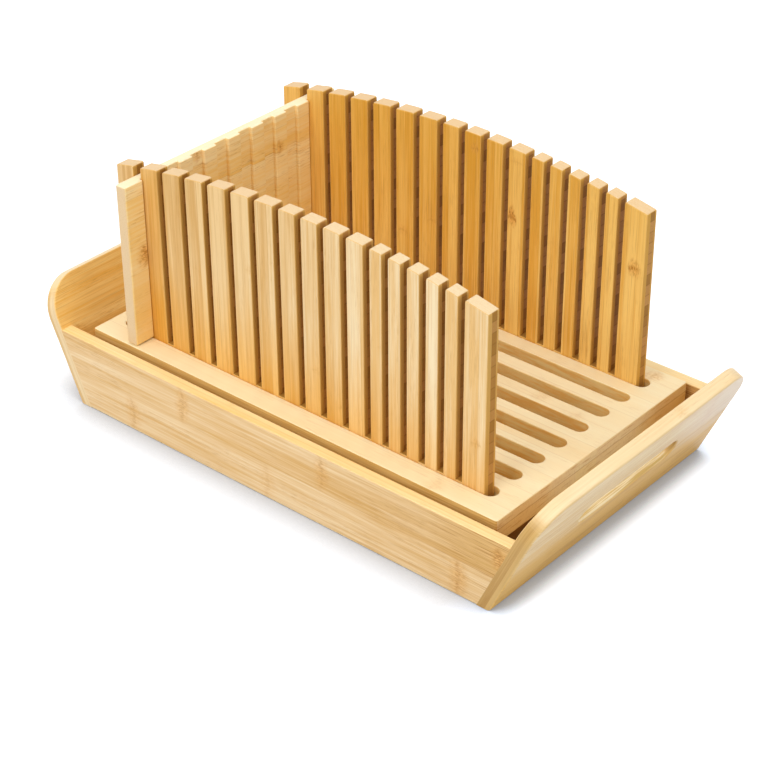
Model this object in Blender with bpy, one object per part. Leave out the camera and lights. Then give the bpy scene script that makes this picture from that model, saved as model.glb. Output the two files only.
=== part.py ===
"""Bamboo bread slicer guide.

A crumb tray with slanted ends carries a slotted board on two feet. Two guide
combs stand in the board's outermost slots, and a grooved end stop drops into
the first kerf of both combs and holds them upright at their spacing.

Metres, +Z up, +X towards the free end of the combs, -Y towards the front.
The origin is on the table, under the middle of the tray.
"""
import math

import bmesh
import bpy
from mathutils import Matrix, Vector

MM = 0.001

# Fits and cutters
GAP = 0.3 * MM                    # between pieces that touch or slide
WEB_CLEARANCE = 0.2 * MM          # each side of the stop's web in its kerf
OVERRUN = 6 * MM                  # how far a cutter runs past what it cuts

# Guide combs
COMB_THICKNESS = 9.5 * MM
KERF_WIDTH = 4.5 * MM
STOP_KERF_WIDTH = 6 * MM          # the first kerf, where the stop stands
KERF_FLOOR_HEIGHT = 0.6 * MM      # above the board's top
THICK_SLICE = 18.7 * MM           # one tooth and one kerf
MEDIUM_SLICE = 16.9 * MM
THIN_SLICE = 13.4 * MM
THICK_SLICE_COUNT = 6
MEDIUM_SLICE_COUNT = 4
THIN_SLICE_COUNT = 5
STOP_END_TOOTH = 14.4 * MM
FREE_END_TOOTH = 16.2 * MM
STOP_END_HEIGHT = 113.2 * MM      # the comb's stop end, above the board's top
FREE_END_HEIGHT = 114.9 * MM      # its free end, above the board's top
ARCH_RISE = 13.2 * MM             # the arch over a straight line between the ends
TOOTH_CORNER_RADIUS = 1.4 * MM
COMB_EASE = 0.7 * MM              # radius of the edges along both faces

# Slotted board
SLOT_COUNT = 8
SLOT_PITCH = 21 * MM
SLOT_END_PLAY = 0.6 * MM          # from a comb's end to the start of the slot's round end
BOARD_THICKNESS = 15.5 * MM
BOARD_FRONT_MARGIN = 16.2 * MM    # outside the front comb
BOARD_BACK_MARGIN = 13.4 * MM     # outside the back comb
BOARD_FREE_MARGIN = 15.7 * MM     # past the slots at the free end
BOARD_STOP_MARGIN = 9.6 * MM      # past the slots at the stop end
BOARD_CORNER_RADIUS = 1.5 * MM
BOARD_EASE = 0.7 * MM

# End stop
STOP_THICKNESS = 8.2 * MM
STOP_HEIGHT = 108.6 * MM
STOP_OVERHANG = 15.3 * MM         # past the outer face of each comb
STOP_CORNER_RADIUS = 1.5 * MM
STOP_EASE = 0.5 * MM

# Feet under the board, and their screws
FOOT_WIDTH = 28 * MM
FOOT_INSET = 6 * MM               # from the board's end
FOOT_MARGIN = 4 * MM              # from the board's front and back
FOOT_EASE = 0.8 * MM
SCREW_LENGTH = 32 * MM
SCREW_GRIP = 10 * MM              # of the length, in the board
SCREW_DIAMETER = 4 * MM
SCREW_HEAD_DIAMETER = 7.6 * MM
SCREW_HEAD_DEPTH = 2.4 * MM
SCREW_POINT = 5 * MM              # length of the pointed end
SCREW_TIP_DIAMETER = 0.8 * MM
OUTER_SCREW_LAND = 3              # the land of an outer screw, counted from the middle one

# Crumb tray
TRAY_WALL = 8.5 * MM              # thickness of a side
END_WALL = 9 * MM                 # thickness of an end
TRAY_SIDE_HEIGHT = 49 * MM
TRAY_SIDE_PLAY = 2.7 * MM         # beside the board, front and back
TRAY_END_PLAY = 4.3 * MM          # past each foot, at its lower edge
TRAY_EASE = 0.8 * MM
BOARD_PROUD = 3.3 * MM            # the board's top over the tray's sides
END_SLANT = math.radians(24.5)    # from upright, outwards
END_RISE = 24.8 * MM              # an end's outer top edge over the tray's sides
END_CORNER_RADIUS = 24 * MM
HAND_HOLE_LENGTH = 94 * MM
HAND_HOLE_WIDTH = 17 * MM
HAND_HOLE_DROP = 37.6 * MM        # its middle under the end's top edge, along the slope
PANEL_THICKNESS = 4 * MM
PANEL_LIFT = 2.5 * MM             # over the table
PANEL_GROOVE = 3.5 * MM           # its depth in the walls
DOWEL_DIAMETER = 4 * MM
DOWEL_IN_END = 5.5 * MM
DOWEL_IN_SIDE = 18 * MM
DOWEL_CHAMFER = 0.6 * MM
DOWEL_HEIGHT_SHARES = {"lower": 0.3, "upper": 0.7}

# Roundness
ARC_STEPS = 8                     # in a quarter of a large corner or a half-round slot end
CORNER_STEPS = 3                  # in a quarter of a small corner
EASE_STEPS = 2                    # in an eased edge
TURNED_SIDES = 12
QUARTER_TURN = 90                 # degrees
SHARP_ANGLE = math.radians(35)

# Materials: base colour, roughness, metallic
PALE_BAMBOO = ((0.78, 0.56, 0.32), 0.45, 0)
GOLDEN_BAMBOO = ((0.66, 0.42, 0.18), 0.45, 0)
TAN_BAMBOO = ((0.62, 0.43, 0.24), 0.5, 0)
DARK_BAMBOO = ((0.45, 0.28, 0.13), 0.55, 0)
BEECH = ((0.7, 0.5, 0.3), 0.6, 0)
ZINCED_STEEL = ((0.6, 0.6, 0.62), 0.35, 1)

# Sizes that follow
SLOT_WIDTH = COMB_THICKNESS + 2 * GAP
WEB_THICKNESS = STOP_KERF_WIDTH - 2 * WEB_CLEARANCE
PAIR_SPAN = (SLOT_COUNT - 1) * SLOT_PITCH
PAIR_MIDDLE_Y = (BOARD_FRONT_MARGIN - BOARD_BACK_MARGIN) / 2
BOARD_DEPTH = BOARD_FRONT_MARGIN + PAIR_SPAN + COMB_THICKNESS + BOARD_BACK_MARGIN
BOARD_TOP = TRAY_SIDE_HEIGHT + BOARD_PROUD
BOARD_BOTTOM = BOARD_TOP - BOARD_THICKNESS
PANEL_TOP = PANEL_LIFT + PANEL_THICKNESS
FOOT_BOTTOM = PANEL_TOP + GAP
FOOT_TOP = BOARD_BOTTOM - GAP
SCREW_HEAD_Z = BOARD_BOTTOM + SCREW_GRIP - SCREW_LENGTH
TRAY_INNER_DEPTH = BOARD_DEPTH + 2 * TRAY_SIDE_PLAY
TRAY_DEPTH = TRAY_INNER_DEPTH + 2 * TRAY_WALL
END_SLOPE = (TRAY_SIDE_HEIGHT + END_RISE) / math.cos(END_SLANT)  # an end's outer face, from foot to top
HAND_HOLE_SLOPE = END_SLOPE - HAND_HOLE_DROP


def tooth_spans():
    """Left and right edge of each tooth, measured from the comb's stop end."""
    widths = [STOP_END_TOOTH]
    widths += [THICK_SLICE - KERF_WIDTH] * THICK_SLICE_COUNT
    widths += [MEDIUM_SLICE - KERF_WIDTH] * MEDIUM_SLICE_COUNT
    widths += [THIN_SLICE - KERF_WIDTH] * THIN_SLICE_COUNT
    widths += [FREE_END_TOOTH]
    kerfs = [STOP_KERF_WIDTH] + [KERF_WIDTH] * (len(widths) - 1)
    spans = []
    left = 0
    for width, kerf in zip(widths, kerfs):
        spans.append((left, left + width))
        left += width + kerf
    return spans


COMB_LENGTH = tooth_spans()[-1][1]
SLOT_STRAIGHT = COMB_LENGTH + 2 * SLOT_END_PLAY
BOARD_LENGTH = BOARD_STOP_MARGIN + SLOT_WIDTH + SLOT_STRAIGHT + BOARD_FREE_MARGIN
SLOT_MIDDLE_X = (BOARD_STOP_MARGIN - BOARD_FREE_MARGIN) / 2
COMB_START_X = SLOT_MIDDLE_X - COMB_LENGTH / 2
FOOT_OUTER_X = BOARD_LENGTH / 2 - FOOT_INSET
END_INNER_X = FOOT_OUTER_X + TRAY_END_PLAY - FOOT_BOTTOM * math.tan(END_SLANT)
TRAY_HALF_BASE = END_INNER_X + END_WALL / math.cos(END_SLANT)


def slot_y(index):
    """Middle of a slot, counted from the front."""
    return PAIR_MIDDLE_Y + index * SLOT_PITCH - PAIR_SPAN / 2


def clear_scene():
    for item in list(bpy.data.objects):
        bpy.data.objects.remove(item, do_unlink=True)


def make_material(name, finish):
    colour, roughness, metallic = finish
    material = bpy.data.materials.new(name)
    material.use_nodes = True
    shader = material.node_tree.nodes["Principled BSDF"]
    shader.inputs["Base Color"].default_value = (*colour, 1)
    shader.inputs["Roughness"].default_value = roughness
    shader.inputs["Metallic"].default_value = metallic
    material.diffuse_color = (*colour, 1)
    return material


def make_mesh(name, shape):
    """Turn a bmesh into a mesh whose round parts are shaded smooth."""
    mesh = bpy.data.meshes.new(name)
    shape.to_mesh(mesh)
    shape.free()
    mesh.shade_smooth()
    mesh.set_sharp_from_angle(angle=SHARP_ANGLE)
    return mesh


def add_object(name, mesh, place, parent=None):
    """Make an object whose origin is at a world point."""
    item = bpy.data.objects.new(name, mesh)
    bpy.context.scene.collection.objects.link(item)
    item.location = place
    if parent:
        item.parent = parent
        item.location = Vector(place) - parent.matrix_world.translation
    bpy.context.view_layer.update()
    return item


def add_piece(name, shape, place, parent, finish):
    mesh = make_mesh(name, shape)
    mesh.materials.append(make_material(name + " finish", finish))
    return add_object(name, mesh, place, parent)


def add_cutter(name, shape, place=(0, 0, 0)):
    cutter = add_object(name, make_mesh(name, shape), place)
    cutter.display_type = "WIRE"
    cutter.hide_render = True
    return cutter


def cut(piece, cutters):
    for cutter in cutters:
        modifier = piece.modifiers.new("cut " + cutter.name, "BOOLEAN")
        modifier.operation = "DIFFERENCE"
        modifier.solver = "EXACT"
        modifier.object = cutter


def add_empty(name):
    empty = bpy.data.objects.new(name, None)
    bpy.context.scene.collection.objects.link(empty)
    return empty


def add_loft(shape, rings):
    """Add a closed skin over rings of points, its faces outward; return the caps on both ends."""
    loops = [[shape.verts.new(point) for point in ring] for ring in rings]
    for lower, upper in zip(loops, loops[1:]):
        for index in range(len(lower)):
            after = (index + 1) % len(lower)
            shape.faces.new((lower[index], lower[after], upper[after], upper[index]))
    caps = [shape.faces.new(loops[0]), shape.faces.new(loops[-1])]
    bmesh.ops.recalc_face_normals(shape, faces=shape.faces)
    return caps


def upright(a, b, depth):
    """A point of an outline in the XZ plane, with its depth along Y."""
    return (a, depth, b)


def flat(a, b, depth):
    """A point of an outline in the XY plane, with its depth along Z."""
    return (a, b, depth)


def add_prism(shape, outline, low, high, lay):
    """Add an outline drawn out from one depth to another; return its two end faces."""
    return add_loft(shape, [[lay(a, b, depth) for a, b in outline] for depth in (low, high)])


def add_block(shape, size_x, size_y, size_z):
    """Add a box centred in X and Y, standing on its origin."""
    outline = [(-size_x / 2, -size_y / 2), (size_x / 2, -size_y / 2)]
    outline += [(size_x / 2, size_y / 2), (-size_x / 2, size_y / 2)]
    return add_prism(shape, outline, 0, size_z, flat)


def add_turned(shape, profile, pose=Matrix()):
    """Add a profile of (radius, height) turned about the Z axis, carried to its place by a matrix."""
    rings = []
    for radius, height in profile:
        ring = []
        for side in range(TURNED_SIDES):
            angle = 2 * math.pi * side / TURNED_SIDES
            ring.append(pose @ Vector((radius * math.cos(angle), radius * math.sin(angle), height)))
        rings.append(ring)
    return add_loft(shape, rings)


def arc(middle, radius, start, end, steps):
    """Points on an arc in a plane, both ends included, angles in degrees."""
    points = []
    for step in range(steps + 1):
        angle = math.radians(start + (end - start) * step / steps)
        points.append((middle[0] + radius * math.cos(angle), middle[1] + radius * math.sin(angle)))
    return points


def rounded_rectangle(half_a, half_b, radius):
    """Outline of a rectangle about the origin, with round corners."""
    points = []
    for sign_a, sign_b, start in ((1, 1, 0), (-1, 1, 90), (-1, -1, 180), (1, -1, 270)):
        middle = (sign_a * (half_a - radius), sign_b * (half_b - radius))
        points += arc(middle, radius, start, start + QUARTER_TURN, CORNER_STEPS)
    return points


def stadium(half_straight, radius, middle_b):
    """Outline along the first axis with half-round ends."""
    right = arc((half_straight, middle_b), radius, -90, 90, ARC_STEPS)
    left = arc((-half_straight, middle_b), radius, 90, 270, ARC_STEPS)
    return right + left


def add_slot_cutter(shape, half_straight, width, middle_b, thickness, ease, lay):
    """Add a slot through a board's whole thickness that flares out to a round rim at both faces."""
    levels = []
    for step in range(EASE_STEPS + 1):
        turn = step / EASE_STEPS * math.pi / 2
        levels.append((ease * (1 - math.sin(turn)), ease * (1 - math.cos(turn))))
    levels += [(grown, thickness - depth) for grown, depth in reversed(levels)]
    levels = [(ease, -OVERRUN)] + levels + [(ease, thickness + OVERRUN)]
    rings = []
    for grown, depth in levels:
        outline = stadium(half_straight, width / 2 + grown, middle_b)
        rings.append([lay(a, b, depth) for a, b in outline])
    return add_loft(shape, rings)


def round_off(shape, edges, radius, steps):
    """Round edges of a shape whose faces all point out."""
    bmesh.ops.bevel(shape, geom=edges, offset=radius, segments=steps, profile=0.5, affect="EDGES",
                    clamp_overlap=False)


def rim_edges(faces):
    return list({edge for face in faces for edge in face.edges})


def sharp_edges(shape):
    return [edge for edge in shape.edges if edge.calc_face_angle() > SHARP_ANGLE]


def edges_along(shape, axis):
    """Edges that run along a coordinate axis, given by its number."""
    found = []
    for edge in shape.edges:
        direction = (edge.verts[1].co - edge.verts[0].co).normalized()
        if abs(direction[axis]) > math.cos(SHARP_ANGLE):
            found.append(edge)
    return found


def arch_height(along):
    """Height of a comb's arched top over the board, at a distance from the comb's stop end."""
    half = COMB_LENGTH / 2
    radius = (half ** 2 + ARCH_RISE ** 2) / (2 * ARCH_RISE)
    drop = radius - math.sqrt(radius ** 2 - (along - half) ** 2)
    straight = STOP_END_HEIGHT + (FREE_END_HEIGHT - STOP_END_HEIGHT) * along / COMB_LENGTH
    return straight + ARCH_RISE - drop


def comb_outline():
    """A comb in its own plane, from its lower corner at the stop end."""
    radius = TOOTH_CORNER_RADIUS
    kerf_floor = BOARD_THICKNESS + KERF_FLOOR_HEIGHT
    points = [(0, 0), (COMB_LENGTH, 0)]
    for left, right in reversed(tooth_spans()):
        if right < COMB_LENGTH:
            points.append((right, kerf_floor))
        for edge, inward, start in ((right, -radius, 0), (left, radius, 90)):
            middle = (edge + inward, BOARD_THICKNESS + arch_height(edge) - radius)
            points += arc(middle, radius, start, start + QUARTER_TURN, CORNER_STEPS)
        if left > 0:
            points.append((left, kerf_floor))
    return points


def make_comb(name, slot_index, board):
    """A guide comb in a slot, its lower edge on the feet; its origin is its lower corner."""
    shape = bmesh.new()
    faces = add_prism(shape, comb_outline(), -COMB_THICKNESS / 2, COMB_THICKNESS / 2, upright)
    round_off(shape, rim_edges(faces), COMB_EASE, EASE_STEPS)
    place = (COMB_START_X, slot_y(slot_index), BOARD_BOTTOM)
    return add_piece(name, shape, place, board, PALE_BAMBOO)


def stop_outline():
    """The stop from above: a flat back, and in its face a groove for each slot position."""
    half_depth = (PAIR_SPAN + COMB_THICKNESS) / 2 + STOP_OVERHANG
    radius = STOP_CORNER_RADIUS
    points = arc((radius, half_depth - radius), radius, 90, 180, CORNER_STEPS)
    points += arc((radius, radius - half_depth), radius, 180, 270, CORNER_STEPS)
    points += arc((STOP_THICKNESS - radius, radius - half_depth), radius, 270, 360, CORNER_STEPS)
    for index in range(SLOT_COUNT):
        near = slot_y(index) - PAIR_MIDDLE_Y - SLOT_WIDTH / 2
        far = near + SLOT_WIDTH
        points += [(STOP_THICKNESS, near - STOP_EASE), (STOP_THICKNESS - STOP_EASE, near)]
        points += [(WEB_THICKNESS, near), (WEB_THICKNESS, far)]
        points += [(STOP_THICKNESS - STOP_EASE, far), (STOP_THICKNESS, far + STOP_EASE)]
    points += arc((STOP_THICKNESS - radius, half_depth - radius), radius, 0, 90, CORNER_STEPS)
    return points


def make_stop(comb):
    """The end stop, in the first kerf of both combs, just clear of the kerfs' floors."""
    shape = bmesh.new()
    faces = add_prism(shape, stop_outline(), 0, STOP_HEIGHT, flat)
    round_off(shape, rim_edges(faces), STOP_EASE, EASE_STEPS)
    web_back = COMB_START_X + STOP_END_TOOTH + WEB_CLEARANCE
    place = (web_back, PAIR_MIDDLE_Y, BOARD_TOP + KERF_FLOOR_HEIGHT + GAP)
    return add_piece("end_stop", shape, place, comb, GOLDEN_BAMBOO)


def make_slot_cutter():
    shape = bmesh.new()
    half_straight = SLOT_STRAIGHT / 2
    for index in range(SLOT_COUNT):
        middle_y = slot_y(index)
        add_slot_cutter(shape, half_straight, SLOT_WIDTH, middle_y, BOARD_THICKNESS, BOARD_EASE, flat)
    return add_cutter("slots", shape, (SLOT_MIDDLE_X, 0, BOARD_BOTTOM))


def make_board(screw_holes):
    """The slotted board; its origin is under its middle."""
    shape = bmesh.new()
    outline = rounded_rectangle(BOARD_LENGTH / 2, BOARD_DEPTH / 2, BOARD_CORNER_RADIUS)
    faces = add_prism(shape, outline, 0, BOARD_THICKNESS, flat)
    round_off(shape, rim_edges(faces), BOARD_EASE, EASE_STEPS)
    board = add_piece("slotted_board", shape, (0, 0, BOARD_BOTTOM), None, PALE_BAMBOO)
    cut(board, [make_slot_cutter(), screw_holes])
    return board


def foot_middle_x(side):
    return side * (FOOT_OUTER_X - FOOT_WIDTH / 2)


def screw_places():
    """Each screw's name and the middle of its head's face, under the lands between the slots."""
    places = []
    for end, side in (("left", -1), ("right", 1)):
        for row, land in (("front", -OUTER_SCREW_LAND), ("middle", 0), ("back", OUTER_SCREW_LAND)):
            y = PAIR_MIDDLE_Y + land * SLOT_PITCH
            places.append((end + "_foot_" + row + "_screw", (foot_middle_x(side), y, SCREW_HEAD_Z)))
    return places


def screw_profile(margin):
    """A countersunk screw from the face of its head upwards, grown by a margin."""
    head = SCREW_HEAD_DIAMETER / 2 + margin
    shank = SCREW_DIAMETER / 2 + margin
    tip = SCREW_TIP_DIAMETER / 2 + margin
    profile = [(head, 0), (shank, SCREW_HEAD_DEPTH)]
    profile += [(shank, SCREW_LENGTH - SCREW_POINT), (tip, SCREW_LENGTH + margin)]
    return profile


def make_screws(board):
    """Three wood screws up through each foot into the board, all of one mesh."""
    shape = bmesh.new()
    add_turned(shape, screw_profile(0))
    mesh = make_mesh("foot screw", shape)
    mesh.materials.append(make_material("screw finish", ZINCED_STEEL))
    for name, place in screw_places():
        add_object(name, mesh, place, board)


def make_screw_holes():
    """The screws' holes, a gap wider, with a counterbore from below up to each head."""
    shape = bmesh.new()
    head = SCREW_HEAD_DIAMETER / 2 + GAP
    profile = [(head, FOOT_BOTTOM - SCREW_HEAD_Z - OVERRUN)] + screw_profile(GAP)
    for _, place in screw_places():
        add_turned(shape, profile, Matrix.Translation(place))
    return add_cutter("screw holes", shape)


def make_foot(name, side, board, screw_holes):
    """A foot across the board's end: it ties the strips between the slots and carries the combs."""
    shape = bmesh.new()
    add_block(shape, FOOT_WIDTH, BOARD_DEPTH - 2 * FOOT_MARGIN, FOOT_TOP - FOOT_BOTTOM)
    round_off(shape, sharp_edges(shape), FOOT_EASE, EASE_STEPS)
    foot = add_piece(name, shape, (foot_middle_x(side), 0, FOOT_BOTTOM), board, DARK_BAMBOO)
    cut(foot, [screw_holes])
    return foot


def end_point(side, across, slope, depth):
    """A point of a slanted end board, from the foot of its outer face; depth runs inwards."""
    outwards = slope * math.sin(END_SLANT) - depth * math.cos(END_SLANT)
    height = slope * math.cos(END_SLANT) + depth * math.sin(END_SLANT)
    return (side * outwards, across, height)


def make_hand_hole(side):
    """A long hole with round ends through an end board, square to its slope."""
    shape = bmesh.new()
    half_straight = (HAND_HOLE_LENGTH - HAND_HOLE_WIDTH) / 2

    def lay(across, slope, depth):
        return end_point(side, across, slope, depth)
    add_slot_cutter(shape, half_straight, HAND_HOLE_WIDTH, HAND_HOLE_SLOPE, END_WALL, TRAY_EASE, lay)
    return add_cutter("hand hole", shape, (side * TRAY_HALF_BASE, 0, 0))


def make_tray_end(name, side, tray, grooves):
    """A slanted end board with a level foot and round top corners."""
    section = [(-side * END_WALL / math.cos(END_SLANT), 0), (0, 0)]
    for depth in (0, END_WALL):
        x, _, z = end_point(side, 0, END_SLOPE, depth)
        section.append((x, z))
    shape = bmesh.new()
    add_prism(shape, section, -TRAY_DEPTH / 2, TRAY_DEPTH / 2, upright)
    top = [edge for edge in shape.edges if is_top_corner(edge)]
    round_off(shape, top, END_CORNER_RADIUS, ARC_STEPS)
    round_off(shape, sharp_edges(shape), TRAY_EASE, EASE_STEPS)
    end = add_piece(name, shape, (side * TRAY_HALF_BASE, 0, 0), tray, TAN_BAMBOO)
    cut(end, [make_hand_hole(side)] + grooves)
    return end


def is_top_corner(edge):
    """Whether an end board's edge runs through its thickness at the top."""
    first, second = [vertex.co for vertex in edge.verts]
    return min(first.z, second.z) > END_SLOPE * math.cos(END_SLANT) / 2 and first.y == second.y


def make_tray_side(name, side, tray, grooves):
    """A straight side between the two ends, cut off at their slant."""
    low = END_INNER_X - GAP / math.cos(END_SLANT)
    high = low + TRAY_SIDE_HEIGHT * math.tan(END_SLANT)
    outline = [(-low, 0), (low, 0), (high, TRAY_SIDE_HEIGHT), (-high, TRAY_SIDE_HEIGHT)]
    shape = bmesh.new()
    add_prism(shape, outline, -TRAY_WALL / 2, TRAY_WALL / 2, upright)
    round_off(shape, edges_along(shape, 0), TRAY_EASE, EASE_STEPS)
    place = (0, side * (TRAY_INNER_DEPTH + TRAY_WALL) / 2, 0)
    board = add_piece(name, shape, place, tray, TAN_BAMBOO)
    cut(board, grooves)
    return board


def add_panel(shape, margin):
    """Add the bottom panel, grown by a margin; it reaches into the grooves of all four walls."""
    half_length = END_INNER_X + PANEL_LIFT * math.tan(END_SLANT) + PANEL_GROOVE - GAP
    half_depth = TRAY_INNER_DEPTH / 2 + PANEL_GROOVE - GAP
    outline = [(-half_length - margin, -half_depth - margin), (half_length + margin, -half_depth - margin)]
    outline += [(half_length + margin, half_depth + margin), (-half_length - margin, half_depth + margin)]
    add_prism(shape, outline, -margin, PANEL_THICKNESS + margin, flat)


def make_panel(tray):
    shape = bmesh.new()
    add_panel(shape, 0)
    return add_piece("tray_bottom_panel", shape, (0, 0, PANEL_LIFT), tray, GOLDEN_BAMBOO)


def make_panel_groove():
    shape = bmesh.new()
    add_panel(shape, GAP)
    return add_cutter("panel groove", shape, (0, 0, PANEL_LIFT))


def dowel_profile(margin):
    """A dowel with chamfered ends, from its end in the end board, grown by a margin."""
    radius = DOWEL_DIAMETER / 2 + margin
    tip_radius = radius - DOWEL_CHAMFER
    length = DOWEL_IN_END + GAP + DOWEL_IN_SIDE
    profile = [(tip_radius, -margin), (radius, DOWEL_CHAMFER - margin)]
    profile += [(radius, length - DOWEL_CHAMFER + margin), (tip_radius, length + margin)]
    return profile


def dowel_poses():
    """Each corner dowel's name and its place and direction, square to the slanted joint."""
    poses = []
    for end, side in (("left", -1), ("right", 1)):
        turn = Matrix.Rotation(side * (END_SLANT - math.pi / 2), 4, "Y")
        for row, across in (("front", -1), ("back", 1)):
            y = across * (TRAY_INNER_DEPTH + TRAY_WALL) / 2
            for level, share in DOWEL_HEIGHT_SHARES.items():
                slope = share * TRAY_SIDE_HEIGHT / math.cos(END_SLANT)
                start = end_point(side, y, slope, END_WALL - DOWEL_IN_END)
                place = Vector(start) + Vector((side * TRAY_HALF_BASE, 0, 0))
                poses.append((row + "_" + end + "_" + level + "_dowel", Matrix.Translation(place) @ turn))
    return poses


def make_dowels(tray):
    """Two dowels in each corner of the tray, all of one mesh."""
    shape = bmesh.new()
    add_turned(shape, dowel_profile(0))
    mesh = make_mesh("corner dowel", shape)
    mesh.materials.append(make_material("dowel finish", BEECH))
    for name, pose in dowel_poses():
        dowel = add_object(name, mesh, pose.translation, tray)
        dowel.rotation_euler = pose.to_euler()


def make_dowel_holes():
    shape = bmesh.new()
    for _, pose in dowel_poses():
        add_turned(shape, dowel_profile(GAP), pose)
    return add_cutter("dowel holes", shape)


def make_tray():
    """The crumb tray: two sides between two slanted ends, on dowels, round a grooved-in panel."""
    tray = add_empty("tray")
    grooves = [make_panel_groove(), make_dowel_holes()]
    make_tray_side("tray_front_side", -1, tray, grooves)
    make_tray_side("tray_back_side", 1, tray, grooves)
    make_tray_end("tray_left_end", -1, tray, grooves)
    make_tray_end("tray_right_end", 1, tray, grooves)
    make_panel(tray)
    make_dowels(tray)


def make_board_assembly():
    """What lifts out of the tray: the board on its feet, with the combs and the stop."""
    screw_holes = make_screw_holes()
    board = make_board(screw_holes)
    make_foot("left_board_foot", -1, board, screw_holes)
    make_foot("right_board_foot", 1, board, screw_holes)
    make_screws(board)
    front_comb = make_comb("front_guide_comb", 0, board)
    make_comb("back_guide_comb", SLOT_COUNT - 1, board)
    make_stop(front_comb)


clear_scene()
make_tray()
make_board_assembly()
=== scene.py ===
"""A bamboo bread slicer guide, finished for its picture.

The sections follow the object as it is put together: the crumb tray, the slotted
board on its feet, the two guide combs and the end stop. The floor, the lamps and
the camera come last. Meshes are in metres, and patterns are in millimetres.
"""
import math

import bpy
import numpy as np
from mathutils import Matrix, Vector
from mathutils.geometry import tessellate_polygon


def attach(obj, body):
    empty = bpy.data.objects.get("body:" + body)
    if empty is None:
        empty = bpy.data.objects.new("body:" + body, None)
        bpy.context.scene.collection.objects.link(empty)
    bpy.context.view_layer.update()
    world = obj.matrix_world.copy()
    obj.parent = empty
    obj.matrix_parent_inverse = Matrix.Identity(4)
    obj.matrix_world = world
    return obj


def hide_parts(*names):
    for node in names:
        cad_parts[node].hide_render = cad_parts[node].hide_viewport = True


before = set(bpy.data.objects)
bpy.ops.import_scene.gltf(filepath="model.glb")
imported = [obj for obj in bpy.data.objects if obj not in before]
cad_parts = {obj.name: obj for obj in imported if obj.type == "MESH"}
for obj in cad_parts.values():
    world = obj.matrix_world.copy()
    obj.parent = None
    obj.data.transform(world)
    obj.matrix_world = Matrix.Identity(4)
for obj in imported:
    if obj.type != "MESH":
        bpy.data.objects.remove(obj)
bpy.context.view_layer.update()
MM = 0.001


# Tray sides.
# The long front and back of the crumb tray, each glued up from two wide flat strips of
# bamboo, planed, sanded and oiled. Their slanted ends stand between the two end boards.

X_WAY = (1, 0, 0)
Y_WAY = (0, 1, 0)
Z_WAY = (0, 0, 1)


class Field:
    """A number that varies over a surface. Plain sums on fields add the nodes that work them out."""

    def __init__(self, graph, socket):
        self.graph = graph
        self.socket = socket

    def __add__(self, other):
        return self.graph.math("ADD", self, other)

    def __sub__(self, other):
        return self.graph.math("SUBTRACT", self, other)

    def __rsub__(self, other):
        return self.graph.math("SUBTRACT", other, self)

    def __mul__(self, other):
        return self.graph.math("MULTIPLY", self, other)

    def __truediv__(self, other):
        return self.graph.math("DIVIDE", self, other)

    def __abs__(self):
        return self.graph.math("ABSOLUTE", self)

    __radd__ = __add__
    __rmul__ = __mul__


class Graph:
    """The nodes of a material or of the surround, with short ways to add to them."""

    def __init__(self, tree):
        self.tree = tree

    def node(self, kind, *values, **settings):
        """A new node with the settings, whose first inputs are fed with the values."""
        node = self.tree.nodes.new(kind)
        for setting, value in settings.items():
            setattr(node, setting, value)
        for socket, value in zip(node.inputs, values):
            self.feed(socket, value)
        return node

    def feed(self, socket, value):
        """Link a field or another socket to a socket, or write a number, a direction or a colour on it."""
        if isinstance(value, Field):
            value = value.socket
        if isinstance(value, bpy.types.NodeSocket):
            self.tree.links.new(value, socket)
        elif isinstance(value, tuple) and len(value) == 3 and len(socket.default_value) == 4:
            socket.default_value = (*value, 1)
        else:
            socket.default_value = value

    def math(self, operation, *values):
        return Field(self, self.node("ShaderNodeMath", *values, operation=operation).outputs[0])

    def ramp(self, value, start, end, low, high, kind="LINEAR"):
        """A field that goes from low to high as the value goes from start to end."""
        node = self.node("ShaderNodeMapRange", value, start, end, low, high, interpolation_type=kind)
        return Field(self, node.outputs[0])

    def fade(self, value, start, end):
        """A smooth rise from 0 to 1 as a field goes from start to end, either way."""
        return self.ramp(value, start, end, 0, 1, "SMOOTHSTEP")

    def blend(self, share, first, second):
        """A colour that goes from the first to the second as the share goes from 0 to 1."""
        node = self.node("ShaderNodeMix", share, data_type="RGBA", clamp_factor=True)
        for socket, colour in zip(node.inputs[6:8], (first, second)):      # the node's two colour inputs
            self.feed(socket, colour)
        return node.outputs[2]


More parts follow.
